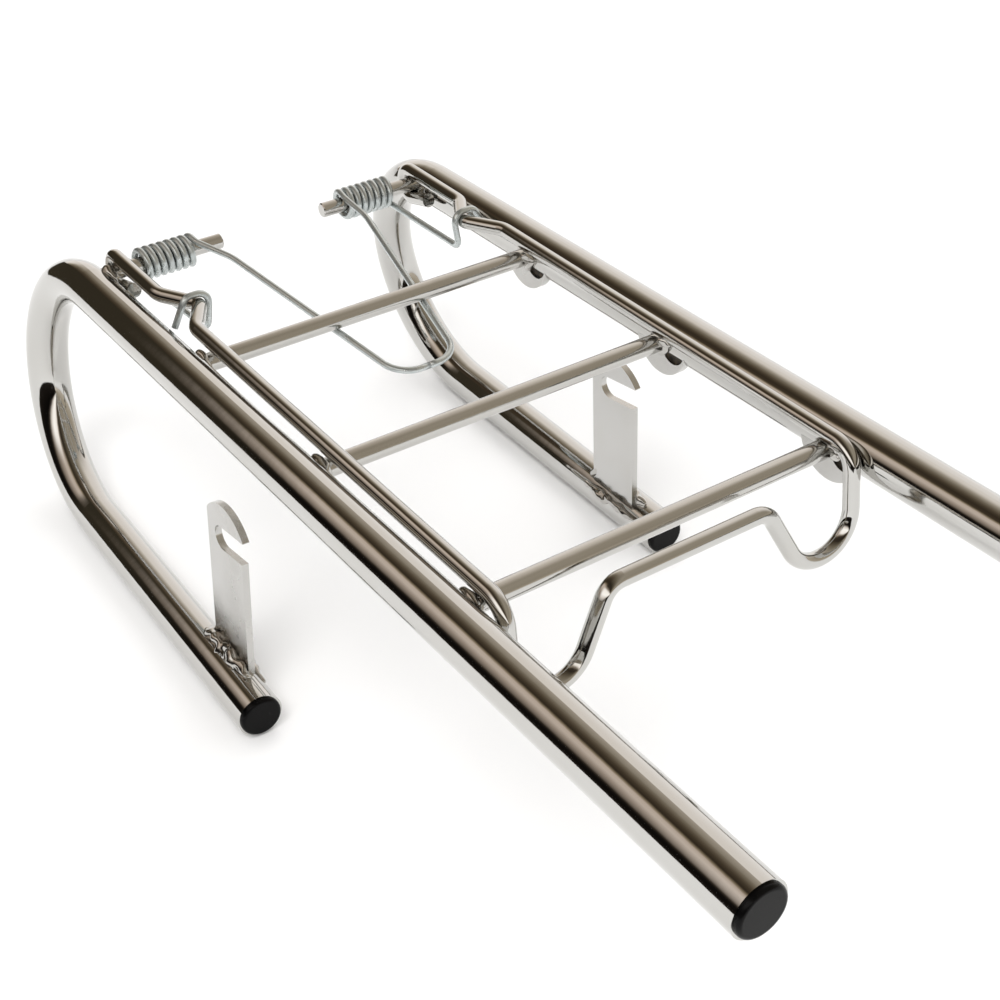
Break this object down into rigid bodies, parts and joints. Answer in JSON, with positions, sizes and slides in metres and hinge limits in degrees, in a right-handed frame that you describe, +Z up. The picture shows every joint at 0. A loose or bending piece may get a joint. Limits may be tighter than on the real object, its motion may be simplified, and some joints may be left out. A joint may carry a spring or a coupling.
{
  "type": "motorcycle luggage rack",
  "caption": "Chromed tubular motorcycle luggage rack with looped rear bends, rod crossbars, slotted hook plates and a sprung clamp bail.",
  "frame": {"origin": "centre of the overall box in X and Y, at the lowest point of the legs' open ends", "axes": "+X to the rack's right seen from behind with +Z up, +Y to the rear, towards the looped bends, +Z up, out of the load plane"},
  "size_m": [0.2352, 0.51, 0.1518],
  "materials": {
    "chrome": "bright chrome plate over steel",
    "plug_plastic": "black moulded plastic",
    "spring_wire": "dull zinc-plated spring wire"
  },
  "bodies": {
    "rack": {"left_side_tube": "chrome", "right_side_tube": "chrome", "rear_crossbar": "chrome", "middle_crossbar": "chrome", "front_crossbar": "chrome", "left_rear_lug": "chrome", "left_middle_lug": "chrome", "left_front_lug": "chrome", "right_rear_lug": "chrome", "right_middle_lug": "chrome", "right_front_lug": "chrome", "left_hook_plate": "chrome", "right_hook_plate": "chrome", "left_hinge_pin": "chrome", "right_hinge_pin": "chrome", "left_rail_plug": "plug_plastic", "left_leg_plug": "plug_plastic", "right_rail_plug": "plug_plastic", "right_leg_plug": "plug_plastic", "torsion_spring": "spring_wire"},
    "bail": {"clamp_bail": "chrome"}
  },
  "joints": [
    {"name": "bail_hinge", "type": "hinge", "parent": "rack", "child": "bail", "pos_m": [0, 0.18665, 0.13919], "axis": [-1, 0, 0], "range_deg": [0, 75], "stiffness_Nm_per_rad": 4.9, "springref_deg": -28.65, "deforming": ["torsion_spring"]}
  ]
}
